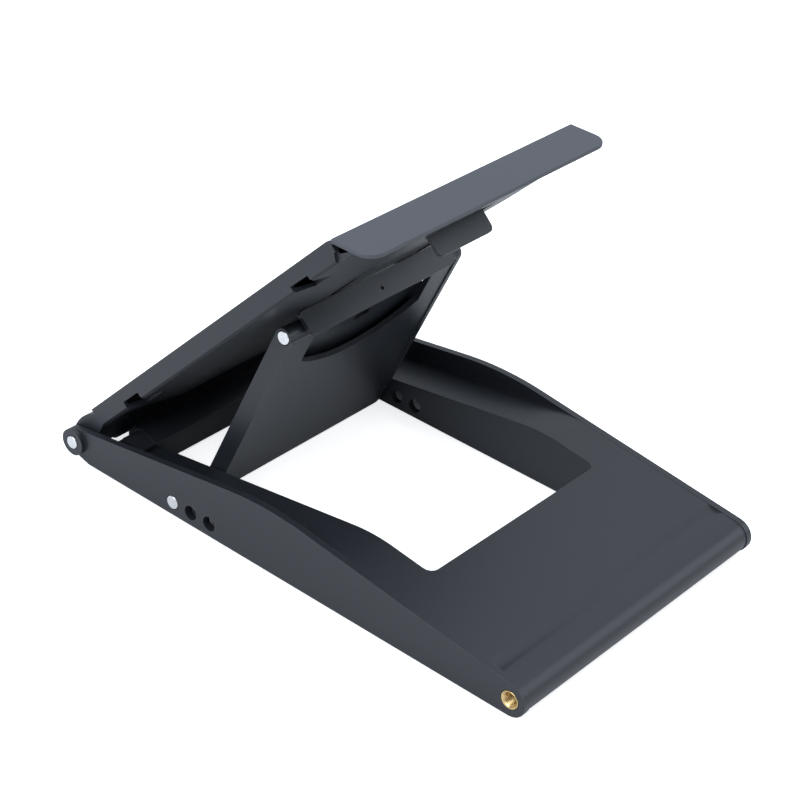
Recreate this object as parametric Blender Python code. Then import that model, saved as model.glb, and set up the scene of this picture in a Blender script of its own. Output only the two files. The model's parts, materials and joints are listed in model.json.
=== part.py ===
"""Folding laptop stand: base frame, tilting tray, prop strut, sliding carriage and pull catch.

Metres, +Z up.  X runs across the stand, the front edge faces -Y and the tray hinge is at the
rear.  The origin is the centre of the footprint, on the surface that the stand rests on.
Lengths are written in millimetres and turned into metres by MM.

Three frames are used.  The base is drawn with u, the distance in front of the hinge axis.
The tray is drawn with s, the distance up the tray from that axis, and n, the height above it.
The strut is drawn with d, the distance from its foot pin to its top pin, and h, to its rear.
"""
import math

import bmesh
import bpy
from mathutils import Vector

MM = 0.001

# Driving dimensions
SPAN = 235.0                # hinge axis to the axis of the front bar
BASE_WIDTH = 150.6
TRAY_ANGLE = 46.2           # tray above the horizontal, at rest
STRUT_ANGLE = 66.95         # strut above the horizontal, at rest
STRUT_LENGTH = 92.3         # foot pin to top pin
FOOT_PROUD = 0.8            # how far the rubber feet stand below the casting
GAP = 0.3                   # clearance between neighbouring pieces
SIDES = 28                  # facets of a round part

# Base
BASE_HALF = BASE_WIDTH / 2
RIM_THICK = 3.0
RAIL_WIDTH = 22.4
RAIL_INNER = BASE_HALF - RAIL_WIDTH
RIM_INNER = BASE_HALF - RIM_THICK
BAR_RADIUS = 7.33
HINGE_HEIGHT = 8.3 + FOOT_PROUD
PEAK = 110.1                # where the rear slope of the rails meets the deck slope
REAR_SLOPE = 0.148
REAR_HEIGHT = 14.5 + FOOT_PROUD
DECK_SLOPE = -0.1302
LEDGE_SLOPE = 0.1465
LEDGE_HEIGHT = 4.4 + FOOT_PROUD
LEDGE_REAR = 10.0
OPENING_FRONT = 176.9
CROSS_REAR, CROSS_FRONT = 12.0, 28.0
WALL = 3.0
KNUCKLE_RADIUS = 6.0
BOSS = 2.0
HOLE_RADIUS = 3.35
FOOT_PIN_U = 58.3
FOOT_PIN_HEIGHT = 6.05 + FOOT_PROUD
HOLE_STEP = 10.5
PIN_RADIUS = 3.05
INSERT_RADIUS = 4.0
INSERT_BORE = 2.5
INSERT_LENGTH = 12.0

# Tray
TRAY_HALF = 71.15
TRAY_TOP = 7.4
TRAY_EDGE = -1.4
SKIN = 1.8
BELLY_HALF = 37.7
BELLY_DEPTH = 5.2
BELLY_FRONT_DEPTH = 7.4
BELLY_TURN = 150.0
TRAY_REAR = 15.6
ROLL_RADIUS = 6.9
RECESS_FRONT = 30.0         # end of the recess that clears the cross member when folded
BEND = 199.0
LIP_LENGTH = 19.6
LIP_THICK = 2.0
LIP_ANGLE = 46.8            # lip below the tray plane
LIP_CORNER = 7.0
TRAY_KNUCKLE_INNER = 57.0
REAR_NOTCH = [(37.6, -6), (51.6, -6), (50.0, 2.2), (38.2, 2.2)]
FRONT_NOTCH = [(167.3, -8), (179.2, -8), (177.8, 1.4), (166.3, 1.5)]
LIP_NOTCH = [(197.7, 1.2), (214, -4), (214, 5.2), (197.6, 5.2)]
LIP_SHELF = [(190.8, -8), (214, -8), (214, 2.6), (196.6, 2.4)]
ROLL_HALF = 55.7            # the roll that closes the rear of the tray, about the hinge axis

# Strut, carriage and catch
STRUT_HALF = 52.0
STRUT_DEPTH = 8.0
STRUT_SHEET = 2.4
NOTCH_HALF = 36.0
NOTCH_SIDE = 72.6
NOTCH_FLOOR = 62.4
WEB_FOOT, WEB_TOP, WEB_DIP = 46.0, 80.0, 73.5      # the web behind the notch, as d
SLIDE_HALF = 32.3
EAR_OUTER, EAR_INNER = 29.0, 24.0
BRACKET_HALF = 44.0
CATCH_HALF = 16.35
CATCH_FRONT = 186.4

HINGE_Y = (SPAN + BAR_RADIUS - KNUCKLE_RADIUS) / 2


def clear_scene():
    for old in list(bpy.data.objects):
        bpy.data.objects.remove(old, do_unlink=True)


def finish(name):
    """Materials by finish: base colour, roughness, metallic."""
    finishes = {
        "black_paint": ((0.028, 0.031, 0.036), 0.42, 0.35),
        "grip_rubber": ((0.045, 0.048, 0.053), 0.75, 0.0),
        "foot_rubber": ((0.015, 0.015, 0.016), 0.85, 0.0),
        "bright_steel": ((0.80, 0.80, 0.79), 0.28, 1.0),
        "brass": ((0.72, 0.50, 0.18), 0.30, 1.0),
        "black_nylon": ((0.020, 0.020, 0.022), 0.55, 0.0),
        "spring_steel": ((0.35, 0.35, 0.36), 0.35, 1.0),
    }
    if name in bpy.data.materials:
        return bpy.data.materials[name]
    colour, roughness, metallic = finishes[name]
    material = bpy.data.materials.new(name)
    material.use_nodes = True
    shader = material.node_tree.nodes["Principled BSDF"]
    shader.inputs["Base Color"].default_value = (*colour, 1.0)
    shader.inputs["Roughness"].default_value = roughness
    shader.inputs["Metallic"].default_value = metallic
    return material


def add_mesh(name, points, faces):
    """One closed mesh object; the faces are turned outwards."""
    mesh = bpy.data.meshes.new(name)
    mesh.from_pydata([Vector(point) * MM for point in points], [], faces)
    shape = bmesh.new()
    shape.from_mesh(mesh)
    bmesh.ops.recalc_face_normals(shape, faces=shape.faces)
    shape.to_mesh(mesh)
    shape.free()
    piece = bpy.data.objects.new(name, mesh)
    bpy.context.collection.objects.link(piece)
    return piece


def prism(name, outline, low, high, place):
    """Extrude a closed outline between low and high; place(a, b, c) gives the point."""
    count = len(outline)
    points = [place(a, b, low) for a, b in outline] + [place(a, b, high) for a, b in outline]
    faces = [[i, (i + 1) % count, count + (i + 1) % count, count + i] for i in range(count)]
    faces.append(list(range(count)))
    faces.append(list(range(count, 2 * count)))
    return add_mesh(name, points, faces)


def box(name, x, y, z):
    """A block between the pairs x, y and z."""
    outline = [(x[0], y[0]), (x[1], y[0]), (x[1], y[1]), (x[0], y[1])]
    return prism(name, outline, z[0], z[1], lambda a, b, c: (a, b, c))


def arc(centre, radius, start, end, steps):
    """Points along a circle, angles in degrees."""
    points = []
    for i in range(steps + 1):
        angle = math.radians(start + (end - start) * i / steps)
        points.append((centre[0] + radius * math.cos(angle), centre[1] + radius * math.sin(angle)))
    return points


def circle(centre, radius, sides=SIDES):
    return arc(centre, radius, 0, 360 - 360 / sides, sides - 1)


def rounded_box(a, b, radii, steps=4):
    """A rectangle outline between pairs a and b, with a radius at each corner, from the
    low-a low-b corner round to the low-a high-b corner."""
    corners = [
        (a[0] + radii[0], b[0] + radii[0], radii[0], 180),
        (a[1] - radii[1], b[0] + radii[1], radii[1], 270),
        (a[1] - radii[2], b[1] - radii[2], radii[2], 0),
        (a[0] + radii[3], b[1] - radii[3], radii[3], 90),
    ]
    outline = []
    for x, y, radius, start in corners:
        if radius > 0:
            outline += arc((x, y), radius, start, start + 90, steps)
        else:
            outline.append((x, y))
    return outline


def rod(name, y, z, radius, x, sides=SIDES):
    """A cylinder along X between the pair x."""
    return prism(name, circle((y, z), radius, sides), x[0], x[1], lambda a, b, c: (c, a, b))


def tube(name, y, z, radii, x, sides=SIDES):
    piece = rod(name, y, z, radii[1], x, sides)
    return cut(piece, rod("bore", y, z, radii[0], (x[0] - 1, x[1] + 1), sides))


def combine(target, tool, operation):
    modifier = target.modifiers.new(operation.lower(), "BOOLEAN")
    modifier.operation = operation
    modifier.solver = "EXACT"
    modifier.object = tool
    with bpy.context.temp_override(object=target, active_object=target, selected_objects=[target]):
        bpy.ops.object.modifier_apply(modifier=modifier.name)
    bpy.data.objects.remove(tool, do_unlink=True)
    return target


def join(target, tool):
    return combine(target, tool, "UNION")


def cut(target, tool):
    return combine(target, tool, "DIFFERENCE")


def finish_piece(piece, material, parent=None):
    """Give a piece its material, smooth its round faces and hang it on its frame."""
    piece.data.materials.clear()
    piece.data.materials.append(finish(material))
    piece.data.shade_smooth()
    piece.data.set_sharp_from_angle(angle=math.radians(30))
    if parent:
        piece.parent = parent
    return piece


def frame(name, y, z, angle):
    """An empty whose -Y axis points up the tray or strut at the angle given."""
    empty = bpy.data.objects.new(name, None)
    empty.location = (0, y * MM, z * MM)
    empty.rotation_euler = (-math.radians(angle), 0, 0)
    bpy.context.collection.objects.link(empty)
    return empty


def base_place(u, z, x):
    return (x, HINGE_Y - u, z)


def tray_place(s, n, x):
    return (x, -s, n)


def base_prism(name, outline, low, high):
    return prism(name, outline, low, high, base_place)


def tray_prism(name, outline, low, high):
    return prism(name, outline, low, high, tray_place)


def tray_plate(name, outline, low, high):
    """An outline in (x, s), thick from n = low to n = high."""
    return prism(name, outline, low, high, lambda x, s, n: (x, -s, n))


def tray_bulkhead(name, outline, low, high):
    """An outline in (x, n), thick from s = low to s = high."""
    return prism(name, outline, low, high, lambda x, n, s: (x, -s, n))


# Base frame

def rim_height(u):
    return REAR_HEIGHT + REAR_SLOPE * u


def deck_height(u):
    return rim_height(PEAK) + DECK_SLOPE * (u - PEAK)


def ledge_height(u):
    return LEDGE_HEIGHT + LEDGE_SLOPE * u


def rounded_peak(low_line, start, end, steps):
    """Points over the peak where the line low_line meets the deck, on one parabola."""
    points = []
    middle = (start + end) / 2
    for i in range(steps + 1):
        t = i / steps
        u = (1 - t) ** 2 * start + 2 * t * (1 - t) * middle + t * t * end
        z = (1 - t) ** 2 * low_line(start) + 2 * t * (1 - t) * low_line(middle)
        points.append((u, z + t * t * deck_height(end)))
    return points


def bar_nose(radius, steps):
    """The rounded front of the base, from its underside up to the deck."""
    return arc((SPAN, BAR_RADIUS + FOOT_PROUD), radius, -90, 84, steps)


def side_profile():
    """Outline of a rail in (u, z), from its rear end round the front and back over the top."""
    outline = [(8.0, FOOT_PROUD)]
    outline += bar_nose(BAR_RADIUS, 10)
    outline += reversed(rounded_peak(rim_height, PEAK - 21, PEAK + 21, 8))
    outline.append((0.0, HINGE_HEIGHT + KNUCKLE_RADIUS))
    outline.append((0.0, HINGE_HEIGHT - KNUCKLE_RADIUS))
    return outline


def inner_profile():
    """Outline of the ledge and deck between the rims, in (u, z)."""
    meet = (deck_height(0) - LEDGE_HEIGHT) / (LEDGE_SLOPE - DECK_SLOPE)
    outline = [(LEDGE_REAR, FOOT_PROUD)]
    outline += bar_nose(BAR_RADIUS - 0.4, 10)
    outline += channel(SPAN - 14, SPAN - 6, 0.9, 6)
    outline += reversed(rounded_peak(ledge_height, meet - 10, meet + 10, 6))
    outline.append((LEDGE_REAR, ledge_height(LEDGE_REAR)))
    return outline


def channel(rear, front, depth, steps):
    """The shallow groove behind the front bar, from its front edge to its rear edge."""
    points = []
    for i in range(steps + 1):
        u = front + (rear - front) * i / steps
        points.append((u, deck_height(u) - depth * math.sin(math.pi * i / steps)))
    return points


def rail_pocket(side):
    """The hollow under a rail, open below; it leaves WALL all round and a roof above it."""
    low, high = sorted((side * (RAIL_INNER + WALL), side * (BASE_HALF - WALL - 0.5)))
    outline = [(LEDGE_REAR + WALL, -1), (OPENING_FRONT, -1)]
    outline.append((OPENING_FRONT, deck_height(OPENING_FRONT) - WALL))
    outline.append((PEAK + 38, deck_height(PEAK + 38) - WALL - 0.8))
    outline.append((LEDGE_REAR + WALL, ledge_height(LEDGE_REAR + WALL) - WALL))
    return base_prism("pocket", outline, low, high)


def make_base_frame():
    piece = base_prism("base_frame", inner_profile(), -RIM_INNER, RIM_INNER)
    for low, high in ((-BASE_HALF, -RIM_INNER), (RIM_INNER, BASE_HALF)):
        join(piece, base_prism("rim", side_profile(), low, high))
    opening = rounded_box((CROSS_REAR - 9, OPENING_FRONT), (-RAIL_INNER, RAIL_INNER), (0, 4, 4, 0))
    cut(piece, prism("opening", opening, -1, 60, lambda u, x, z: (x, HINGE_Y - u, z)))
    low, front = FOOT_PROUD, (CROSS_FRONT, 11 + FOOT_PROUD)
    cross = [(CROSS_REAR, low), (CROSS_FRONT, low), front, (24.5, 13.3 + low), (19.5, 14.4 + low)]
    cross += [(15.0, 13.4 + low), (CROSS_REAR, 10.0 + low)]
    reach = TRAY_KNUCKLE_INNER - 1.0
    join(piece, base_prism("cross_member", cross, -reach, reach))
    end = [(17.0, low + 1), (CROSS_FRONT - 0.1, low + 1), (CROSS_FRONT - 0.1, front[1] - 0.1)]
    end += [(24.4, 13.2 + low), (20.5, 14.1 + low), (18.0, 13.5 + low), (17.0, 11.5 + low)]
    for side in (-1, 1):
        span = sorted((side * (reach - 0.5), side * (reach + 9)))
        join(piece, base_prism("cross_end", end, *span))
    for side in (-1, 1):
        cut(piece, rail_pocket(side))
    deck_pocket = [(OPENING_FRONT + WALL, -1), (SPAN - 9, -1), (SPAN - 9, deck_height(SPAN) - WALL)]
    deck_pocket.append((OPENING_FRONT + WALL, deck_height(OPENING_FRONT) - WALL - 0.8))
    cut(piece, base_prism("deck_pocket", deck_pocket, 4 - BASE_HALF, BASE_HALF - 4))
    for x in (-25.0, 25.0):
        rib = [(OPENING_FRONT + 1, 1.5), (SPAN - 7, 1.5), (SPAN - 7, 11), (OPENING_FRONT + 1, 18)]
        join(piece, base_prism("rib", rib, x - 1, x + 1))
    for side in (-1, 1):
        ring = sorted((side * (RIM_INNER + 0.1), side * (BASE_HALF + BOSS)))
        join(piece, rod("boss", HINGE_Y, HINGE_HEIGHT, KNUCKLE_RADIUS, ring))
        bore = sorted((side * (RIM_INNER - 5), side * (BASE_HALF + BOSS + 1)))
        cut(piece, rod("bore", HINGE_Y, HINGE_HEIGHT, HOLE_RADIUS - 0.1, bore))
        through = sorted((side * (RAIL_INNER - 3), side * (BASE_HALF + 3)))
        for step in range(3):
            y = HINGE_Y - FOOT_PIN_U - step * HOLE_STEP
            cut(piece, rod("hole", y, FOOT_PIN_HEIGHT, HOLE_RADIUS, through, 20))
        socket = sorted((side * (BASE_HALF - INSERT_LENGTH - GAP), side * (BASE_HALF + 1)))
        bar_z = BAR_RADIUS + FOOT_PROUD
        cut(piece, rod("socket", HINGE_Y - SPAN, bar_z, INSERT_RADIUS + GAP, socket))
    for x, u in foot_places():
        recess = circle((x, HINGE_Y - u), 4.0 + GAP, 20)
        cut(piece, prism("recess", recess, -1, FOOT_PROUD + 0.5, lambda a, b, c: (a, b, c)))
    return finish_piece(piece, "black_paint")


def foot_places():
    """Centres of the four rubber feet, under the solid ends of the rails, as (x, u)."""
    x = BASE_HALF - 11
    return [(side * x, u) for side in (-1, 1) for u in (18.5, SPAN - 2.0)]


def make_base_fittings():
    names = {-1: "left", 1: "right"}
    for side in (-1, 1):
        pin = sorted((side * (TRAY_KNUCKLE_INNER - 1), side * (BASE_HALF + BOSS + 0.4)))
        steel = rod("hinge_pin_" + names[side], HINGE_Y, HINGE_HEIGHT, PIN_RADIUS - 0.1, pin)
        finish_piece(steel, "bright_steel")
        pin = sorted((side * (STRUT_HALF - 3.4), side * (BASE_HALF + 0.3)))
        y = HINGE_Y - FOOT_PIN_U
        steel = rod("strut_foot_pin_" + names[side], y, FOOT_PIN_HEIGHT, PIN_RADIUS, pin)
        finish_piece(steel, "bright_steel")
        span = sorted((side * (BASE_HALF - INSERT_LENGTH), side * (BASE_HALF + 0.1)))
        radii = (INSERT_BORE, INSERT_RADIUS)
        brass = tube("front_insert_" + names[side], HINGE_Y - SPAN, BAR_RADIUS + FOOT_PROUD, radii, span)
        finish_piece(brass, "brass")
        washer = sorted((side * (TRAY_HALF + 0.25), side * (RIM_INNER - 0.25)))
        radii = (PIN_RADIUS + 0.2, KNUCKLE_RADIUS - 0.5)
        nylon = tube("hinge_washer_" + names[side], HINGE_Y, HINGE_HEIGHT, radii, washer, 20)
        finish_piece(nylon, "black_nylon")
    for number, (x, u) in enumerate(foot_places(), 1):
        disc = circle((x, HINGE_Y - u), 4.0, 20)
        foot = prism("rubber_foot_%d" % number, disc, 0, FOOT_PROUD + 0.2, lambda a, b, c: (a, b, c))
        finish_piece(foot, "foot_rubber")


# Tray

def lip_offset(n):
    """How far s moves forward along the slanted lip at the height n."""
    return (TRAY_TOP - n) / math.tan(math.radians(LIP_ANGLE))


def belly_depth(s):
    grow = max(0.0, s - BELLY_TURN) / (BEND - BELLY_TURN)
    return BELLY_DEPTH + (BELLY_FRONT_DEPTH - BELLY_DEPTH) * min(1.0, grow)


def pan_section(s):
    """The pan's cross-section as a closed ring of (x, n): outside first, then inside."""
    depth = belly_depth(s)
    outer = [(TRAY_HALF, TRAY_TOP), (TRAY_HALF, TRAY_EDGE + 1.0), (TRAY_HALF - 1.0, TRAY_EDGE)]
    outer += [(56.0, -0.50 * depth), (BELLY_HALF + 6, -0.87 * depth), (BELLY_HALF, -depth)]
    inner = [(TRAY_HALF - SKIN, TRAY_TOP), (TRAY_HALF - SKIN, TRAY_EDGE + SKIN)]
    inner += [(56.0, SKIN - 0.50 * depth), (BELLY_HALF + 6, SKIN - 0.87 * depth)]
    inner.append((BELLY_HALF, SKIN - depth))
    ring = outer + [(-x, n) for x, n in reversed(outer)]
    ring += [(-x, n) for x, n in inner] + list(reversed(inner))
    return ring


def make_pan():
    """Sweep the pan's section from the rear to the slanted front."""
    back = BEND - LIP_THICK / math.sin(math.radians(LIP_ANGLE)) - GAP
    stations = [TRAY_REAR, 90.0, BELLY_TURN, 180.0, back]
    points = []
    for s in stations:
        for x, n in pan_section(s):
            shift = lip_offset(n) if s == back else 0.0
            points.append((x, -s - shift, n))
    ring = len(pan_section(back))
    faces = []
    for row in range(len(stations) - 1):
        for i in range(ring):
            j = (i + 1) % ring
            first = row * ring
            faces.append([first + i, first + j, first + ring + j, first + ring + i])
    faces.append(list(range(ring)))
    faces.append(list(range((len(stations) - 1) * ring, len(stations) * ring)))
    return add_mesh("tray_frame", points, faces)


def make_tray_frame(parent):
    piece = make_pan()
    back = BEND - LIP_THICK / math.sin(math.radians(LIP_ANGLE)) - GAP
    top, low = TRAY_TOP, -BELLY_DEPTH
    face = back - 0.1
    wall = [(face + lip_offset(top) - 2.2, top - 0.2), (face + lip_offset(top), top - 0.2)]
    wall += [(face + lip_offset(low), low), (face + lip_offset(low) - 2.2, low)]
    join(piece, tray_prism("front_wall", wall, -BELLY_HALF - 2, BELLY_HALF + 2))
    side_wall = [(face + lip_offset(top) - 2.2, top - 0.3), (face + lip_offset(top), top - 0.3)]
    side_wall += [(face + lip_offset(0.6), 0.6), (face + lip_offset(0.6) - 2.2, 0.6)]
    for side in (-1, 1):
        low_x, high_x = sorted((side * (BELLY_HALF + 1), side * (TRAY_HALF - 1)))
        join(piece, tray_prism("front_wall", side_wall, low_x, high_x))
        knuckle = [(TRAY_REAR + 0.8, 4.5), (TRAY_REAR + 0.8, TRAY_EDGE + 0.4)]
        knuckle += arc((0, 0), KNUCKLE_RADIUS, -90, -250, 14)
        knuckle += [(3.0, 6.9), (6.5, 7.25), (10.0, 7.0), (13.5, 6.2)]
        low_x, high_x = sorted((side * TRAY_KNUCKLE_INNER, side * (TRAY_HALF - 0.02)))
        join(piece, tray_prism("knuckle", knuckle, low_x, high_x))
        low_x, high_x = sorted((side * (TRAY_KNUCKLE_INNER - 3), side * (TRAY_HALF + 3)))
        cut(piece, rod("bore", 0, 0, PIN_RADIUS + 1.3, (low_x, high_x)))
    cut(piece, box("rear_gap", (-TRAY_KNUCKLE_INNER, TRAY_KNUCKLE_INNER), (-RECESS_FRONT, 5), (-20, 3.0)))
    cut(piece, box("rear_gap", (-66, 66), (-RECESS_FRONT, -TRAY_REAR - 0.8), (-20, 3.0)))
    roll = [(TRAY_REAR + 0.6, 4.4), (TRAY_REAR + 0.6, 3.3)]
    roll += arc((0, 0), ROLL_RADIUS, -50, -250, 16)
    join(piece, tray_prism("rear_roll", roll, -ROLL_HALF, ROLL_HALF))
    join(piece, box("rear_rib", (-69.6, 69.6), (-TRAY_REAR - 2.4, -TRAY_REAR - 0.2), (3.4, TRAY_TOP - 2.6)))
    for side in (-1, 1):
        low_x, high_x = sorted((side * (EAR_INNER - 0.6), side * (EAR_OUTER + 0.6)))
        cut(piece, box("ear_slot", (low_x, high_x), (-164, -115), (-20, 0)))
    catch_slot = rounded_box((-CATCH_HALF - 0.8, CATCH_HALF + 0.8), (183.6, 194), (1, 1, 1, 1), 2)
    cut(piece, tray_plate("catch_slot", catch_slot, -20, 0))
    for side in (-1, 1):
        low_x, high_x = sorted((side * (TRAY_HALF - 11), side * (TRAY_HALF + 4)))
        for outline in (REAR_NOTCH, FRONT_NOTCH, LIP_NOTCH):
            cut(piece, tray_prism("edge_notch", outline, low_x, high_x))
        low_x, high_x = sorted((side * (TRAY_HALF - 1.2), side * (TRAY_HALF + 4)))
        cut(piece, tray_prism("lip_shelf", LIP_SHELF, low_x, high_x))
    for x in (-55.0, 55.0):
        for s in (60.0, 150.0):
            post = tray_plate("post", circle((x, s), 3.4, 14), -0.5 * BELLY_DEPTH + 1, 4.6)
            join(piece, post)
            cut(piece, tray_plate("screw_hole", circle((x, s), 1.5, 12), -1.0, 6.0))
    return finish_piece(piece, "black_paint", parent)


def make_tray_fittings(parent):
    names = {-1: "left", 1: "right"}
    inside = TRAY_HALF - SKIN - GAP
    sheet = rounded_box((-inside, inside), (TRAY_REAR + 1, 194.1), (1, 1, 1, 1), 2)
    cover = tray_plate("tray_top_plate", sheet, 4.9, 6.3)
    for x in (-55.0, 55.0):
        for s in (60.0, 150.0):
            cut(cover, tray_plate("hole", circle((x, s), 1.5, 12), 4, 7))
    finish_piece(cover, "black_paint", parent)
    pad = rounded_box((-inside + 1, inside - 1), (TRAY_REAR + 3, 193.5), (4, 4, 4, 4))
    finish_piece(tray_plate("tray_grip_pad", pad, 6.6, 7.6), "grip_rubber", parent)

    lip = rounded_box((-TRAY_HALF, TRAY_HALF), (0, LIP_LENGTH), (0, 0, LIP_CORNER, LIP_CORNER), 6)
    tilt = math.radians(LIP_ANGLE)
    along = Vector((0, -math.cos(tilt), -math.sin(tilt)))
    out = Vector((0, -math.sin(tilt), math.cos(tilt)))
    corner = Vector((0, -BEND, TRAY_TOP))

    def lip_place(x, length, depth):
        return Vector((x, 0, 0)) + corner + along * length - out * depth

    finish_piece(prism("front_lip", lip, 0, LIP_THICK, lip_place), "grip_rubber", parent)

    for side in (-1, 1):
        span = sorted((side * (TRAY_KNUCKLE_INNER + 0.2), side * (TRAY_HALF - 0.1)))
        bush = tube("hinge_bush_" + names[side], 0, 0, (PIN_RADIUS, PIN_RADIUS + 1.0), span)
        finish_piece(bush, "black_nylon", parent)
        section = [(33.0, -2.9), (35.4, -2.9), (35.4, 4.5), (30.6, 4.5), (30.6, 3.3), (33.0, 3.3)]
        section = [(side * x, n) for x, n in section]
        rail = tray_bulkhead("guide_rail_" + names[side], section, 98, 180)
        finish_piece(rail, "black_nylon", parent)
    number = 1
    for x in (-55.0, 55.0):
        for s in (60.0, 150.0):
            screw = tray_plate("cover_screw_%d" % number, circle((x, s), 1.2, 12), -0.5, 5.9)
            finish_piece(screw, "spring_steel", parent)
            number += 1
    centre, radius, sheet = (178.5, 1.2), 2.8, 0.4
    strip = [(184, centre[1] + radius)] + arc(centre, radius, 90, 270, 8)
    strip += [(180.5, centre[1] - radius)] + arc(centre, radius - sheet, 270, 90, 8)
    strip.append((184, centre[1] + radius - sheet))
    finish_piece(tray_prism("catch_spring", strip, -6, 6), "spring_steel", parent)


# Strut

def make_strut(parent):
    half = STRUT_DEPTH / 2
    top = STRUT_LENGTH

    def sheet_place(x, d, h):
        return (x, -d, h)

    rise = NOTCH_SIDE - NOTCH_FLOOR
    radius = (NOTCH_HALF ** 2 + rise ** 2) / (2 * rise)
    sweep = math.degrees(math.asin(NOTCH_HALF / radius))
    floor = arc((0, NOTCH_FLOOR + radius), radius, 270 + sweep, 270 - sweep, 10)
    sheet = rounded_box((-STRUT_HALF, STRUT_HALF), (-5.0, top), (3, 3, 0, 0))[:-2]
    sheet += [(STRUT_HALF, top), (NOTCH_HALF, top)] + floor + [(-NOTCH_HALF, top), (-STRUT_HALF, top)]
    piece = prism("strut_plate", sheet, 0.5 - half, 0.5 - half + STRUT_SHEET, sheet_place)
    for side in (-1, 1):
        flange = arc((0, 0), half, 270, 90, 8) + arc((top, 0), half, 90, -90, 8)
        low_x, high_x = sorted((side * (STRUT_HALF - 2.6), side * (STRUT_HALF + 0.01)))
        join(piece, prism("flange", flange, low_x, high_x, lambda d, h, x: (x, -d, h)))
        barrel = sorted((side * NOTCH_HALF, side * (STRUT_HALF - 1)))
        join(piece, rod("barrel", -top, 0, half - 0.15, barrel))
        bore = sorted((side * (NOTCH_HALF - 3), side * (STRUT_HALF + 3)))
        cut(piece, rod("bore", -top, 0, PIN_RADIUS + GAP, bore))
        cut(piece, rod("bore", 0, 0, PIN_RADIUS + GAP, bore))
    rear = half - 0.8
    wall = 2.2
    for x in ((-NOTCH_HALF - wall, -NOTCH_HALF), (NOTCH_HALF, NOTCH_HALF + wall)):
        join(piece, box("web_side", x, (-WEB_TOP, -WEB_FOOT), (-2, rear - 0.2)))
    span = (-NOTCH_HALF - wall + 0.1, NOTCH_HALF + wall - 0.1)
    join(piece, box("web_foot", span, (-WEB_FOOT - wall, -WEB_FOOT + 0.1), (-2, rear - 0.1)))
    join(piece, box("web", span, (0.1 - WEB_TOP, -WEB_FOOT - 0.1), (rear - 1.8, rear)))
    cut(piece, box("web_dip", (-0.5, 8.5), (-WEB_TOP - 1, -WEB_DIP), (rear - 2.5, rear + 1)))
    finish_piece(piece, "black_paint", parent)
    pin = rod("strut_top_pin", -top, 0, PIN_RADIUS, (-STRUT_HALF - 0.3, STRUT_HALF + 0.3))
    finish_piece(pin, "bright_steel", parent)


# Carriage: everything is drawn in the tray's frame

def top_pin_in_tray():
    """Where the strut's top pin is, as (s, n)."""
    strut = math.radians(STRUT_ANGLE)
    tray = math.radians(TRAY_ANGLE)
    u = FOOT_PIN_U + STRUT_LENGTH * math.cos(strut)
    z = FOOT_PIN_HEIGHT + STRUT_LENGTH * math.sin(strut) - HINGE_HEIGHT
    return (u * math.cos(tray) + z * math.sin(tray), z * math.cos(tray) - u * math.sin(tray))


def make_carriage(parent):
    pin_s, pin_n = top_pin_in_tray()
    slide = rounded_box((-SLIDE_HALF, SLIDE_HALF), (106, 148), (2, 2, 2, 2), 2)
    slide = tray_plate("slide_plate", slide, 0.5, 2.6)
    screws = [(x, s) for x in (-26.5, 26.5) for s in (pin_s - 3.4, pin_s + 3.4)]
    for x, s in screws:
        cut(slide, tray_plate("hole", circle((x, s), 1.3, 12), -2, 5))
    finish_piece(slide, "spring_steel", parent)

    front = pin_s + 6.7
    top = GAP + BELLY_DEPTH
    panel = rounded_box((-BRACKET_HALF, BRACKET_HALF), (-16.2, -top), (4, 4, 1, 1), 5)
    bracket = tray_bulkhead("pivot_bracket", panel, front - 2.2, front)
    for side in (-1, 1):
        ear = [(front - 1, -top - 0.5), (front - 1, 0.2), (front - 13.4, 0.2)]
        ear += arc((pin_s, pin_n), 5.0, 180, 290, 8) + [(front - 1, -15.5)]
        low_x, high_x = sorted((side * EAR_INNER, side * EAR_OUTER))
        join(bracket, tray_prism("ear", ear, low_x, high_x))
        bore = sorted((side * (EAR_INNER - 2), side * (EAR_OUTER + 2)))
        cut(bracket, rod("bore", -pin_s, pin_n, PIN_RADIUS + GAP, bore))
    for x, s in screws:
        cut(bracket, tray_plate("hole", circle((x, s), 1.2, 12), -5.5, 1))
    hole = circle((0, -11.6), 0.9, 12)
    cut(bracket, tray_bulkhead("hole", hole, front - 4, front + 1))
    finish_piece(bracket, "black_paint", parent)

    for number, (x, s) in enumerate(screws, 1):
        screw = tray_plate("bracket_screw_%d" % number, circle((x, s), 0.9, 12), -5.0, 3.3)
        join(screw, tray_plate("head", circle((x, s), 2.0, 12), 2.9, 3.7))
        finish_piece(screw, "spring_steel", parent)


def make_catch(parent):
    arm = rounded_box((-12, 12), (150, CATCH_FRONT - 0.4), (2, 2, 0, 0), 2)
    catch = tray_plate("release_catch", arm, -3.1, -2.0)
    tab = rounded_box((-CATCH_HALF, CATCH_HALF), (-15.7, -2.2), (2.6, 2.6, 0.6, 0.6))
    join(catch, tray_bulkhead("tab", tab, CATCH_FRONT - 1.6, CATCH_FRONT))
    finish_piece(catch, "black_paint", parent)
    pad = tray_plate("brake_pad", rounded_box((-10, 10), (151, 157), (1, 1, 1, 1), 2), -1.75, -1.05)
    finish_piece(pad, "foot_rubber", parent)


def main():
    clear_scene()
    tray = frame("tray_axis", HINGE_Y, HINGE_HEIGHT, TRAY_ANGLE)
    strut = frame("strut_axis", HINGE_Y - FOOT_PIN_U, FOOT_PIN_HEIGHT, STRUT_ANGLE)
    make_base_frame()
    make_base_fittings()
    make_tray_frame(tray)
    make_tray_fittings(tray)
    make_strut(strut)
    make_carriage(tray)
    make_catch(tray)


main()
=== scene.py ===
import json
import math

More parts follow.
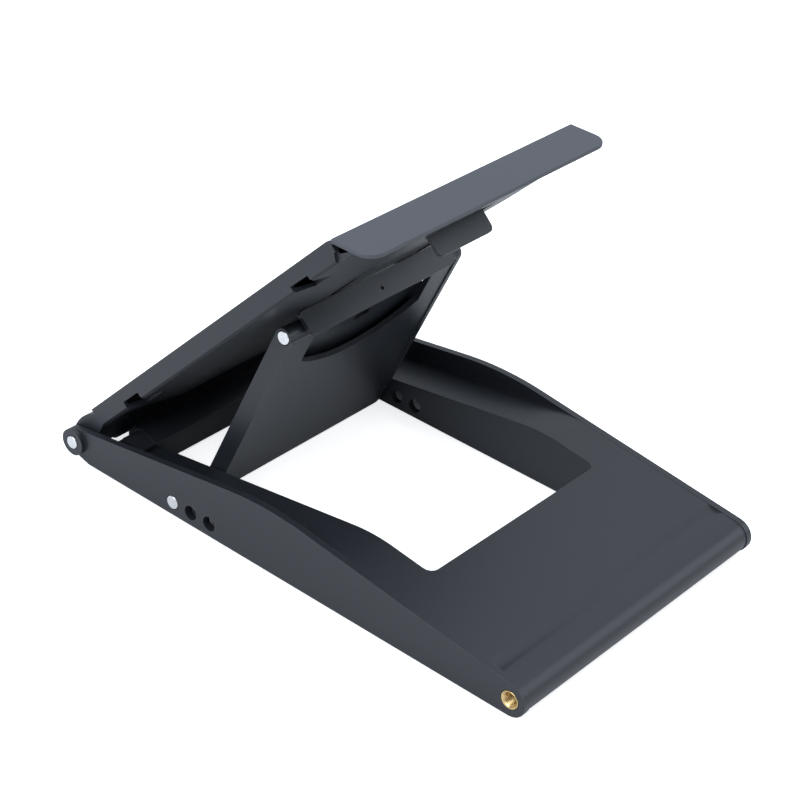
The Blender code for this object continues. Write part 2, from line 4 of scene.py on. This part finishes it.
import bmesh
import bpy
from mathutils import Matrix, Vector


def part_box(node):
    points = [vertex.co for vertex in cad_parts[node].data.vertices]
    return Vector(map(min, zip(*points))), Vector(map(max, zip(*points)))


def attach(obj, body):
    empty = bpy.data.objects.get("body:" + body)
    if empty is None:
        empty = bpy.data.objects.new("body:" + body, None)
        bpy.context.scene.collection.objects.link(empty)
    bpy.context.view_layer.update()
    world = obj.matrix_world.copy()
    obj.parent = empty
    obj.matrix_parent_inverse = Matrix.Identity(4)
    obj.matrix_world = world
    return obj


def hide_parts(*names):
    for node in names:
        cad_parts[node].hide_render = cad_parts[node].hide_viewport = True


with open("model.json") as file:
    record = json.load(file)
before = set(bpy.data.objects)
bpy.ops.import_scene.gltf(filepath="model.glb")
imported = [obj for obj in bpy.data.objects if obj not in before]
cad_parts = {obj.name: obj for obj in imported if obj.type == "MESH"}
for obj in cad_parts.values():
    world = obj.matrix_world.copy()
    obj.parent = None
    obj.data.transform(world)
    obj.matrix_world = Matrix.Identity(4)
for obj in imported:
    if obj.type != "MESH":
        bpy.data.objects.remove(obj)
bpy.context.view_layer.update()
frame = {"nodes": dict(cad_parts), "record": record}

# Folding laptop stand.  Lengths below are in millimetres; MM turns them into metres.
MM = 0.001
NODES = frame["nodes"]
MOUNTS = {mount["name"]: mount for mount in frame["record"]["mounts"]}

# The tray's own directions: square to its top, from its hinge towards its lip, and across it.
TRAY_UP = Vector(MOUNTS["tray_top"]["axis"]).normalized()
TRAY_ALONG = Vector((0, -TRAY_UP.z, TRAY_UP.y))
TRAY_ACROSS = Vector((1, 0, 0))


# Node groups shared by the finishes

def new_group(name, inputs, outputs):
    """A shader node group with named inputs (name, default) and outputs (name, socket type)."""
    tree = bpy.data.node_groups.new(name, "ShaderNodeTree")
    for label, default in inputs:
        kind = "NodeSocketColor" if isinstance(default, tuple) else "NodeSocketFloat"
        socket = tree.interface.new_socket(label, in_out="INPUT", socket_type=kind)
        socket.default_value = default
    for label, kind in outputs:
        tree.interface.new_socket(label, in_out="OUTPUT", socket_type=kind)
    return tree, tree.nodes.new("NodeGroupInput"), tree.nodes.new("NodeGroupOutput")


def add_node(tree, kind, links=None, **settings):
    """A node with its settings; links maps an input's name or number to a socket or a value."""
    node = tree.nodes.new(kind)
    for name, value in settings.items():
        setattr(node, name, value)
    for key, source in (links or {}).items():
        if isinstance(source, bpy.types.NodeSocket):
            tree.links.new(source, node.inputs[key])
        else:
            node.inputs[key].default_value = source
    return node


def math_node(tree, operation, first, second, third=None, clamp=False):
    """The result of a math node; the third value is for an operation that takes three."""
    values = {0: first, 1: second}
    if third is not None:
        values[2] = third
    return add_node(tree, "ShaderNodeMath", values, operation=operation, use_clamp=clamp).outputs[0]


def spread(tree, value, low, high):
    """Takes the range low..high of a value to 0..1."""
    node = add_node(tree, "ShaderNodeMapRange", {"Value": value, "From Min": low, "From Max": high})
    return node.outputs[0]


def object_place(tree):
    """The place of the shaded point on its object, in metres."""
    return add_node(tree, "ShaderNodeTexCoord").outputs["Object"]


def noise(tree, place, scale, detail):
    """Smooth noise from 0 to 1; scale is roughly the number of grains to a metre."""
    node = add_node(tree, "ShaderNodeTexNoise", {"Vector": place, "Scale": scale, "Detail": detail})
    return node.outputs["Fac"]


def make_powder_coat():
    """Orange-peel height and sheen variation of a sprayed coat."""
    inputs = [("Peel Scale", 1600.0), ("Speck Scale", 4200.0), ("Cloud Scale", 9.0)]
    outputs = [("Height", "NodeSocketFloat"), ("Sheen", "NodeSocketFloat"), ("Speck", "NodeSocketFloat")]
    tree, source, result = new_group("powder_coat", inputs, outputs)
    place = object_place(tree)
    peel = noise(tree, place, source.outputs["Peel Scale"], detail=2.0)
    speck = noise(tree, place, source.outputs["Speck Scale"], detail=1.0)
    cloud = noise(tree, place, source.outputs["Cloud Scale"], detail=3.0)
    speck_share = 0.45
    tree.links.new(math_node(tree, "MULTIPLY_ADD", speck, speck_share, peel), result.inputs["Height"])
    tree.links.new(spread(tree, cloud, low=0.20, high=0.80), result.inputs["Sheen"])
    tree.links.new(spread(tree, speck, low=0.62, high=0.74), result.inputs["Speck"])
    return tree


def make_edge_wear():
    """Where edges are rubbed: a mask along the edges of a piece, broken up by noise."""
    inputs = [("Reach", 0.0007), ("Break Scale", 160.0), ("Amount", 1.0)]
    tree, source, result = new_group("edge_wear", inputs, [("Mask", "NodeSocketFloat")])
    rounded = add_node(tree, "ShaderNodeBevel", {"Radius": source.outputs["Reach"]}, samples=4).outputs[0]
    normal = add_node(tree, "ShaderNodeNewGeometry").outputs["Normal"]
    turned = add_node(tree, "ShaderNodeVectorMath", {0: rounded, 1: normal}, operation="DOT_PRODUCT")
    away = math_node(tree, "SUBTRACT", 1.0, turned.outputs["Value"])
    rough = noise(tree, object_place(tree), source.outputs["Break Scale"], detail=4.0)
    edge = spread(tree, away, low=0.02, high=0.30)
    broken = math_node(tree, "MULTIPLY", edge, spread(tree, rough, low=0.30, high=0.60))
    mask = math_node(tree, "MULTIPLY", broken, source.outputs["Amount"], clamp=True)
    tree.links.new(mask, result.inputs["Mask"])
    return tree


def make_dust():
    """Fine dust that settles on upward faces."""
    inputs = [("Scale", 2600.0), ("Amount", 0.3)]
    tree, source, result = new_group("settled_dust", inputs, [("Mask", "NodeSocketFloat")])
    normal = add_node(tree, "ShaderNodeNewGeometry").outputs["Normal"]
    up = add_node(tree, "ShaderNodeSeparateXYZ", {0: normal}).outputs["Z"]
    place = object_place(tree)
    grains = noise(tree, place, source.outputs["Scale"], detail=2.0)
    patches = noise(tree, place, 14.0, detail=2.0)
    upward = spread(tree, up, low=0.2, high=1.0)
    level = math_node(tree, "MULTIPLY", upward, spread(tree, grains, low=0.48, high=0.72))
    level = math_node(tree, "MULTIPLY", level, spread(tree, patches, low=0.35, high=0.65))
    mask = math_node(tree, "MULTIPLY", level, source.outputs["Amount"], clamp=True)
    tree.links.new(mask, result.inputs["Mask"])
    return tree


def make_turning():
    """Fine rings left by a lathe on a part turned about the X axis, and hairline scratches."""
    inputs = [("Ring Scale", 2600.0), ("Scratch Scale", 700.0)]
    outputs = [("Height", "NodeSocketFloat"), ("Mask", "NodeSocketFloat")]
    tree, source, result = new_group("turning_marks", inputs, outputs)
    place = object_place(tree)
    ring_inputs = {"Vector": place, "Scale": source.outputs["Ring Scale"], "Distortion": 0.6, "Detail": 1.0}
    rings = add_node(tree, "ShaderNodeTexWave", ring_inputs, bands_direction="X")
    mask = spread(tree, noise(tree, place, source.outputs["Scratch Scale"], detail=6.0), low=0.40, high=0.66)
    scratch_share = 0.5
    height = math_node(tree, "MULTIPLY_ADD", mask, scratch_share, rings.outputs["Fac"])
    tree.links.new(height, result.inputs["Height"])
    tree.links.new(mask, result.inputs["Mask"])
    return tree


POWDER_COAT = make_powder_coat()
EDGE_WEAR = make_edge_wear()
SETTLED_DUST = make_dust()
TURNING_MARKS = make_turning()


# Materials

def start_material(name, roughness, metallic, specular=0.5):
    """A material with its Principled BSDF; constants go straight on the shader's sockets."""
    material = bpy.data.materials.new(name)
    material.use_nodes = True
    shader = material.node_tree.nodes["Principled BSDF"]
    shader.inputs["Roughness"].default_value = roughness
    shader.inputs["Metallic"].default_value = metallic
    shader.inputs["Specular IOR Level"].default_value = specular
    return material, material.node_tree, shader


def place_group(tree, group, **values):
    node = add_node(tree, "ShaderNodeGroup", node_tree=group)
    for label, value in values.items():
        node.inputs[label.replace("_", " ")].default_value = value
    return node


def blend_colours(tree, fac, first, second):
    """A colour that runs from first to second, each a socket or three numbers, as fac goes 0 to 1."""
    node = add_node(tree, "ShaderNodeMix", data_type="RGBA")
    first_colour, second_colour, blended = node.inputs[6], node.inputs[7], node.outputs[2]
    tree.links.new(fac, node.inputs["Factor"])
    for socket, value in ((first_colour, first), (second_colour, second)):
        if isinstance(value, bpy.types.NodeSocket):
            tree.links.new(value, socket)
        else:
            socket.default_value = (*value, 1.0)
    return blended


def blend_values(tree, fac, first, second):
    """A value that runs from first to second, two numbers, as fac goes from 0 to 1."""
    node = add_node(tree, "ShaderNodeMapRange", {"Value": fac, "To Min": first, "To Max": second})
    return node.outputs[0]


def bump(tree, shader, height, strength, distance):
    """Small relief on a material; distance is its height in metres."""
    node = add_node(tree, "ShaderNodeBump", {"Height": height, "Strength": strength, "Distance": distance})
    tree.links.new(node.outputs[0], shader.inputs["Normal"])


def coated_metal(name, dark, light, worn, roughness, wear=0.7, dust=0.02):
    """Sprayed coat on a light alloy casting: fine peel, even sheen, rubbed edges and dust."""
    material, tree, shader = start_material(name, sum(roughness) / 2, 0.0)
    paint = place_group(tree, POWDER_COAT)
    edges = place_group(tree, EDGE_WEAR, Amount=wear)
    settled = place_group(tree, SETTLED_DUST, Amount=dust)
    speck_strength, dust_dulling = 0.10, 0.3
    speck = math_node(tree, "MULTIPLY", paint.outputs["Speck"], speck_strength)
    colour = blend_colours(tree, paint.outputs["Sheen"], dark, light)
    colour = blend_colours(tree, speck, colour, worn)
    colour = blend_colours(tree, edges.outputs["Mask"], colour, worn)
    colour = blend_colours(tree, settled.outputs["Mask"], colour, PAINT_DUST)
    tree.links.new(colour, shader.inputs["Base Color"])
    even = blend_values(tree, paint.outputs["Sheen"], *roughness)
    dulled = math_node(tree, "MULTIPLY_ADD", settled.outputs["Mask"], dust_dulling, even)
    tree.links.new(dulled, shader.inputs["Roughness"])
    bump(tree, shader, paint.outputs["Height"], strength=0.07, distance=0.00002)
    return material


def rubber(name, dark, light, roughness, grain):
    """Moulded rubber or soft-touch coat with an even stipple and a dry bloom."""
    material, tree, shader = start_material(name, roughness, metallic=0.0, specular=0.35)
    skin = place_group(tree, POWDER_COAT, Peel_Scale=grain, Speck_Scale=grain * 2.2, Cloud_Scale=9.0)
    settled = place_group(tree, SETTLED_DUST, Amount=0.03)
    edges = place_group(tree, EDGE_WEAR, Amount=0.5)
    rubbed_gain = 2.2
    rubbed = tuple(min(1.0, rubbed_gain * part) for part in light)
    colour = blend_colours(tree, skin.outputs["Sheen"], dark, light)
    colour = blend_colours(tree, edges.outputs["Mask"], colour, rubbed)
    colour = blend_colours(tree, settled.outputs["Mask"], colour, RUBBER_DUST)
    tree.links.new(colour, shader.inputs["Base Color"])
    uneven = blend_values(tree, skin.outputs["Sheen"], roughness - 0.02, roughness + 0.03)
    tree.links.new(uneven, shader.inputs["Roughness"])
    bump(tree, shader, skin.outputs["Height"], strength=0.25, distance=0.00006)
    return material


def turned_metal(name, colour, dull, roughness, ring=2600.0):
    """Bare turned metal with lathe rings, hairlines and a little tarnish."""
    material, tree, shader = start_material(name, roughness, metallic=1.0)
    marks = place_group(tree, TURNING_MARKS, Ring_Scale=ring)
    cloud = place_group(tree, POWDER_COAT, Cloud_Scale=260.0)
    shade = blend_colours(tree, cloud.outputs["Sheen"], dull, colour)
    tree.links.new(shade, shader.inputs["Base Color"])
    uneven = blend_values(tree, marks.outputs["Mask"], roughness - 0.06, roughness + 0.14)
    tree.links.new(uneven, shader.inputs["Roughness"])
    bump(tree, shader, marks.outputs["Height"], strength=0.12, distance=0.00005)
    return material


def moulded_nylon(name, dark, light):
    """Moulded nylon with a faint grain."""
    material, tree, shader = start_material(name, roughness=0.5, metallic=0.0)
    skin = place_group(tree, POWDER_COAT, Peel_Scale=1500.0, Cloud_Scale=60.0)
    tree.links.new(blend_colours(tree, skin.outputs["Sheen"], dark, light), shader.inputs["Base Color"])
    tree.links.new(blend_values(tree, skin.outputs["Sheen"], 0.42, 0.58), shader.inputs["Roughness"])
    bump(tree, shader, skin.outputs["Height"], strength=0.15, distance=0.0001)
    return material


PAINT_DARK = (0.0120, 0.0138, 0.0172)
PAINT_LIGHT = (0.0126, 0.0145, 0.0180)
PAINT_WORN = (0.050, 0.055, 0.062)
PAINT_DUST = (0.12, 0.12, 0.118)
RUBBER_DUST = (0.32, 0.32, 0.31)
PAINT = (PAINT_DARK, PAINT_LIGHT, PAINT_WORN)
FINISHES = {
    "casting": coated_metal("base_powder_coat", *PAINT, roughness=(0.39, 0.41)),
    "tray": coated_metal("tray_powder_coat", *PAINT, roughness=(0.39, 0.41)),
    "strut": coated_metal("strut_powder_coat", *PAINT, roughness=(0.36, 0.38)),
    "inner": coated_metal("inner_powder_coat", *PAINT, roughness=(0.45, 0.60), wear=0.3),
    "lip": rubber(
        "lip_soft_touch", (0.060, 0.064, 0.072), (0.063, 0.067, 0.075), roughness=0.50, grain=2200.0),
    "pad": rubber(
        "grip_pad_rubber", (0.020, 0.021, 0.023), (0.026, 0.027, 0.030), roughness=0.72, grain=900.0),
    "foot": rubber(
        "foot_rubber", (0.012, 0.012, 0.013), (0.022, 0.022, 0.023), roughness=0.8, grain=1200.0),
    "pin": turned_metal("pin_steel", (0.82, 0.82, 0.81), (0.70, 0.70, 0.70), roughness=0.24),
    "brass": turned_metal(
        "turned_brass", (0.72, 0.53, 0.26), (0.52, 0.36, 0.15), roughness=0.28, ring=3200.0),
    "zinc": turned_metal("dull_zinc_steel", (0.44, 0.44, 0.45), (0.30, 0.30, 0.31), roughness=0.38),
    "nylon": moulded_nylon("black_nylon", (0.016, 0.016, 0.018), (0.028, 0.028, 0.030)),
}


def wear_finish(piece, finish):
    piece.data.materials.clear()
    piece.data.materials.append(FINISHES[finish])


# Shaping helpers

EDGE_ANGLE = 40
SMOOTH_ANGLE = 32
FLAT_ANGLE = 0.6
SAME_PLACE = 0.002

def select_only(piece):
    bpy.ops.object.select_all(action="DESELECT")
    piece.select_set(True)
    bpy.context.view_layer.objects.active = piece


def apply_modifiers(piece):
    select_only(piece)
    for modifier in list(piece.modifiers):
        bpy.ops.object.modifier_apply(modifier=modifier.name)


def select_faces(piece, wanted):
    """Opens the piece in edit mode with the faces selected that wanted(face) picks."""
    select_only(piece)
    bpy.ops.object.mode_set(mode="EDIT")
    bpy.ops.mesh.select_mode(type="FACE")
    bpy.ops.mesh.select_all(action="DESELECT")
    shape = bmesh.from_edit_mesh(piece.data)
    for face in shape.faces:
        face.select_set(bool(wanted(face)))
    shape.select_flush_mode()
    bmesh.update_edit_mesh(piece.data)


def finish_edges(piece, radius, angle, segments):
    """Rounds the edges sharper than the angle, and shades the round faces smooth."""
    rounding = piece.modifiers.new("rounding", "BEVEL")
    rounding.width = radius * MM
    rounding.segments = segments
    rounding.limit_method = "ANGLE"
    rounding.angle_limit = math.radians(angle)
    rounding.use_clamp_overlap = True
    apply_modifiers(piece)
    bpy.ops.object.shade_smooth_by_angle(angle=math.radians(SMOOTH_ANGLE))
    flat = piece.modifiers.new("flat_faces", "WEIGHTED_NORMAL")
    flat.keep_sharp = True
    apply_modifiers(piece)


def worked_copy(node, name, radius):
    """A copy of a CAD node with its flat faces joined up and its edges rounded."""
    source = NODES[node]
    piece = bpy.data.objects.new(name, source.data.copy())
    bpy.context.scene.collection.objects.link(piece)
    select_only(piece)
    bpy.ops.object.mode_set(mode="EDIT")
    bpy.ops.mesh.select_all(action="SELECT")
    bpy.ops.mesh.remove_doubles(threshold=SAME_PLACE * MM)
    bpy.ops.mesh.dissolve_limited(angle_limit=math.radians(FLAT_ANGLE))
    bpy.ops.object.mode_set(mode="OBJECT")
    finish_edges(piece, radius, EDGE_ANGLE, segments=3)
    return piece


def sink_groove(border, side, floor, depth):
    """Sinks a groove into the selected faces, a border's width inside their outline."""
    bpy.ops.mesh.inset(thickness=border * MM)
    bpy.ops.mesh.inset(thickness=side * MM, depth=-depth * MM)
    bpy.ops.mesh.inset(thickness=floor * MM)
    bpy.ops.mesh.inset(thickness=side * MM, depth=depth * MM)


def settle(piece, body, finish, slot, *nodes):
    """Says what a finished piece rides on, its finish and what it replaces; its material slot is not used.
    """
    wear_finish(piece, finish)
    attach(piece, body)
    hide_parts(*nodes)
    return piece


# Castings and sheet parts

settle(worked_copy("base_frame", "base_casting", 0.45), "base", "casting", "black_paint", "base_frame")
settle(worked_copy("tray_frame", "tray_casting", 0.4), "tray", "tray", "black_paint", "tray_frame")
settle(worked_copy("strut_plate", "prop_strut", 0.35), "strut", "strut", "black_paint", "strut_plate")
settle(worked_copy("front_lip", "tray_lip", 0.5), "tray", "lip", "grip_rubber", "front_lip")
settle(worked_copy("pivot_bracket", "pivot_block", 0.4), "carriage", "strut", "black_paint", "pivot_bracket")
settle(worked_copy("release_catch", "pull_catch", 0.35), "catch", "tray", "black_paint", "release_catch")
for side in ("left", "right"):
    for node in ("hinge_pin_" + side, "strut_foot_pin_" + side):
        settle(worked_copy(node, node + "_turned", 0.45), "base", "pin", "bright_steel", node)
top_pin = worked_copy("strut_top_pin", "strut_top_pin_turned", 0.45)
settle(top_pin, "strut", "pin", "bright_steel", "strut_top_pin")


# Threaded inserts in the ends of the front bar

def make_insert(side, sign):
    """A flanged brass bush with a flared mouth and rings of thread down its bore."""
    low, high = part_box("front_insert_" + side)
    centre = (low + high) / 2
    radius, length = (high.z - low.z) / 2, high.x - low.x
    bpy.ops.object.select_all(action="DESELECT")
    bpy.ops.mesh.primitive_cylinder_add(
        vertices=48, radius=radius, depth=length, location=centre, rotation=(0, math.radians(90), 0))
    piece = bpy.context.active_object
    piece.name = "threaded_insert_" + side
    bpy.ops.object.transform_apply(location=True, rotation=True, scale=True)
    select_faces(piece, lambda face: face.normal.x * sign > 0.9)
    rim, proud = 0.15, 0.10
    mouth, bore, flare, depth = 3.35, 2.6, 0.7, 9.6
    pitch, thread = 0.8, 0.42
    rings = [(radius - rim * MM, proud), (mouth * MM, 0.0), (bore * MM, -flare)]
    turn = flare
    while turn < depth:
        rings += [((bore + thread) * MM, -turn - pitch / 2), (bore * MM, -turn - pitch)]
        turn += pitch
    size, at = radius, 0.0
    for ring, place in rings:
        step = (place - at) * MM * sign
        bpy.ops.mesh.extrude_region_move(TRANSFORM_OT_translate={"value": (step, 0, 0)})
        bpy.ops.transform.resize(value=(1, ring / size, ring / size), center_override=centre)
        size, at = ring, place
    bpy.ops.object.mode_set(mode="OBJECT")
    finish_edges(piece, radius=0.12, angle=50, segments=2)
    return settle(piece, "base", "brass", "brass", "front_insert_" + side)


for side, sign in (("left", -1), ("right", 1)):
    make_insert(side, sign)


# Rubber feet

def make_foot(number):
    """A pad with a rounded rim and a shallow ring groove in its sole."""
    node = "rubber_foot_%d" % number
    low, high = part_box(node)
    centre = (low + high) / 2
    radius = (high.x - low.x) / 2
    bpy.ops.object.select_all(action="DESELECT")
    bpy.ops.mesh.primitive_cylinder_add(vertices=40, radius=radius, depth=high.z - low.z, location=centre)
    piece = bpy.context.active_object
    piece.name = "foot_pad_%d" % number
    bpy.ops.object.transform_apply(location=True, rotation=True, scale=True)
    select_faces(piece, lambda face: face.normal.z < -0.9)
    sink_groove(border=1.1, side=0.2, floor=0.5, depth=0.3)
    bpy.ops.object.mode_set(mode="OBJECT")
    finish_edges(piece, radius=0.15, angle=EDGE_ANGLE, segments=2)
    return settle(piece, "base", "foot", "foot_rubber", node)


for number in range(1, 5):
    make_foot(number)


# Grip pad on the tray

def reach_along(node, direction):
    """The lowest and highest place of a node's points along a direction."""
    places = [vertex.co.dot(direction) for vertex in NODES[node].data.vertices]
    return min(places), max(places)


def make_grip_pad():
    """The mat on the tray: round corners and a shallow groove that runs round inside its border."""
    corner = 4.0
    ways = (TRAY_ACROSS, TRAY_ALONG, TRAY_UP)
    spans = [reach_along("tray_grip_pad", way) for way in ways]
    centre = Vector()
    for (low, high), way in zip(spans, ways):
        centre += (low + high) / 2 * way
    bpy.ops.object.select_all(action="DESELECT")
    tilt = math.atan2(TRAY_ALONG.z, -TRAY_ALONG.y)
    bpy.ops.mesh.primitive_cube_add(size=1.0, location=centre, rotation=(-tilt, 0, 0))
    piece = bpy.context.active_object
    piece.name = "grip_mat"
    piece.scale = [high - low for low, high in spans]
    bpy.ops.object.transform_apply(location=True, rotation=True, scale=True)
    select_faces(piece, lambda face: False)
    bpy.ops.mesh.select_mode(type="EDGE")
    shape = bmesh.from_edit_mesh(piece.data)
    for edge in shape.edges:
        run = (edge.verts[1].co - edge.verts[0].co).normalized()
        edge.select_set(abs(run.dot(TRAY_UP)) > 0.9)
    bmesh.update_edit_mesh(piece.data)
    bpy.ops.mesh.bevel(offset=corner * MM, segments=6)
    bpy.ops.object.mode_set(mode="OBJECT")
    # The groove's widths add up to less than the corner radius, so its loops do not cross there.
    select_faces(piece, lambda face: face.normal.dot(TRAY_UP) > 0.9)
    sink_groove(border=1.8, side=0.25, floor=0.9, depth=0.35)
    bpy.ops.object.mode_set(mode="OBJECT")
    finish_edges(piece, radius=0.1, angle=EDGE_ANGLE, segments=2)
    return settle(piece, "tray", "pad", "grip_rubber", "tray_grip_pad")


make_grip_pad()


# Finishes of the CAD pieces that stay as they are

def finish_of(node):
    """The finish of a CAD piece that shows as it is; those replaced above take any."""
    if node.startswith(("hinge_washer", "hinge_bush", "guide_rail")):
        return "nylon"
    if node == "brake_pad":
        return "foot"
    if node == "tray_top_plate":
        return "inner"
    return "zinc"


for node, piece in NODES.items():
    wear_finish(piece, finish_of(node))


# Floor, lights and camera

COOL = (0.93, 1.0, 1.10)
FLOOR_DROP = 0.2
FLOOR_GLOW = 0.75
RAIL_PLACE = 63.7
RAIL_REACH = 8.5
HOLES_PLACE = 45.0
HOLES_REACH = 35.0


def make_floor():
    """A pale floor that looks brighter to the camera, but not under the rails, and clear from below."""
    bpy.ops.object.select_all(action="DESELECT")
    bpy.ops.mesh.primitive_plane_add(size=12.0, location=(0, 0, -FLOOR_DROP * MM))
    floor = bpy.context.active_object
    floor.name = "floor"
    material, tree, shader = start_material("pale_floor", 0.9, 0.0, 0.0)
    shader.inputs["Base Color"].default_value = (0.70, 0.70, 0.70, 1.0)
    seen = add_node(tree, "ShaderNodeLightPath").outputs["Is Camera Ray"]
    place = add_node(tree, "ShaderNodeSeparateXYZ", {0: object_place(tree)}).outputs
    aside = math_node(tree, "ABSOLUTE", place["X"], 0.0)
    below_rail = math_node(tree, "COMPARE", aside, RAIL_PLACE * MM, RAIL_REACH * MM)
    by_holes = math_node(tree, "COMPARE", place["Y"], HOLES_PLACE * MM, HOLES_REACH * MM)
    dark_patch = math_node(tree, "MULTIPLY", below_rail, by_holes)
    bright = math_node(tree, "MULTIPLY_ADD", dark_patch, -FLOOR_GLOW, FLOOR_GLOW)
    glow = math_node(tree, "MULTIPLY", seen, bright)
    shader.inputs["Emission Color"].default_value = (1.0, 1.0, 1.0, 1.0)
    tree.links.new(glow, shader.inputs["Emission Strength"])
    clear = add_node(tree, "ShaderNodeBsdfTransparent").outputs[0]
    below = add_node(tree, "ShaderNodeNewGeometry").outputs["Backfacing"]
    mixed = add_node(tree, "ShaderNodeMixShader", {0: below, 1: shader.outputs[0], 2: clear}).outputs[0]
    tree.links.new(mixed, tree.nodes["Material Output"].inputs["Surface"])
    floor.data.materials.append(material)


def make_sun(name, towards, spread_angle, strength):
    """A broad even light from the direction given."""
    light = bpy.data.lights.new(name, type="SUN")
    light.color = COOL
    light.angle = math.radians(spread_angle)
    light.energy = strength
    holder = bpy.data.objects.new(name, light)
    bpy.context.scene.collection.objects.link(holder)
    holder.rotation_euler = Vector(towards).to_track_quat("Z", "Y").to_euler()


def make_world(strength):
    world = bpy.data.worlds.new("studio")
    world.use_nodes = True
    background = world.node_tree.nodes["Background"]
    background.inputs["Color"].default_value = (*COOL, 1.0)
    background.inputs["Strength"].default_value = strength
    bpy.context.scene.world = world


def make_camera():
    camera = bpy.data.cameras.new("camera")
    camera.sensor_width = 36
    camera.lens = 100.24
    holder = bpy.data.objects.new("camera", camera)
    bpy.context.scene.collection.objects.link(holder)
    holder.location = (-0.60119, -0.47328, 0.53710)
    holder.rotation_euler = [math.radians(angle) for angle in (57.497, -3.698, -49.134)]
    bpy.context.scene.camera = holder


bpy.context.scene.view_settings.view_transform = "Standard"
make_floor()
make_world(strength=0.55)
make_sun("top_light", (0, 0, 1), spread_angle=60, strength=1.5)
make_sun("left_light", (-1, 0.1, 0.8), spread_angle=45, strength=2.1)
make_sun("front_light", (0.64, -0.55, 0.53), spread_angle=45, strength=0.7)
make_sun("back_light", (0.64, 0.38, 0.60), spread_angle=45, strength=0.13)
make_camera()
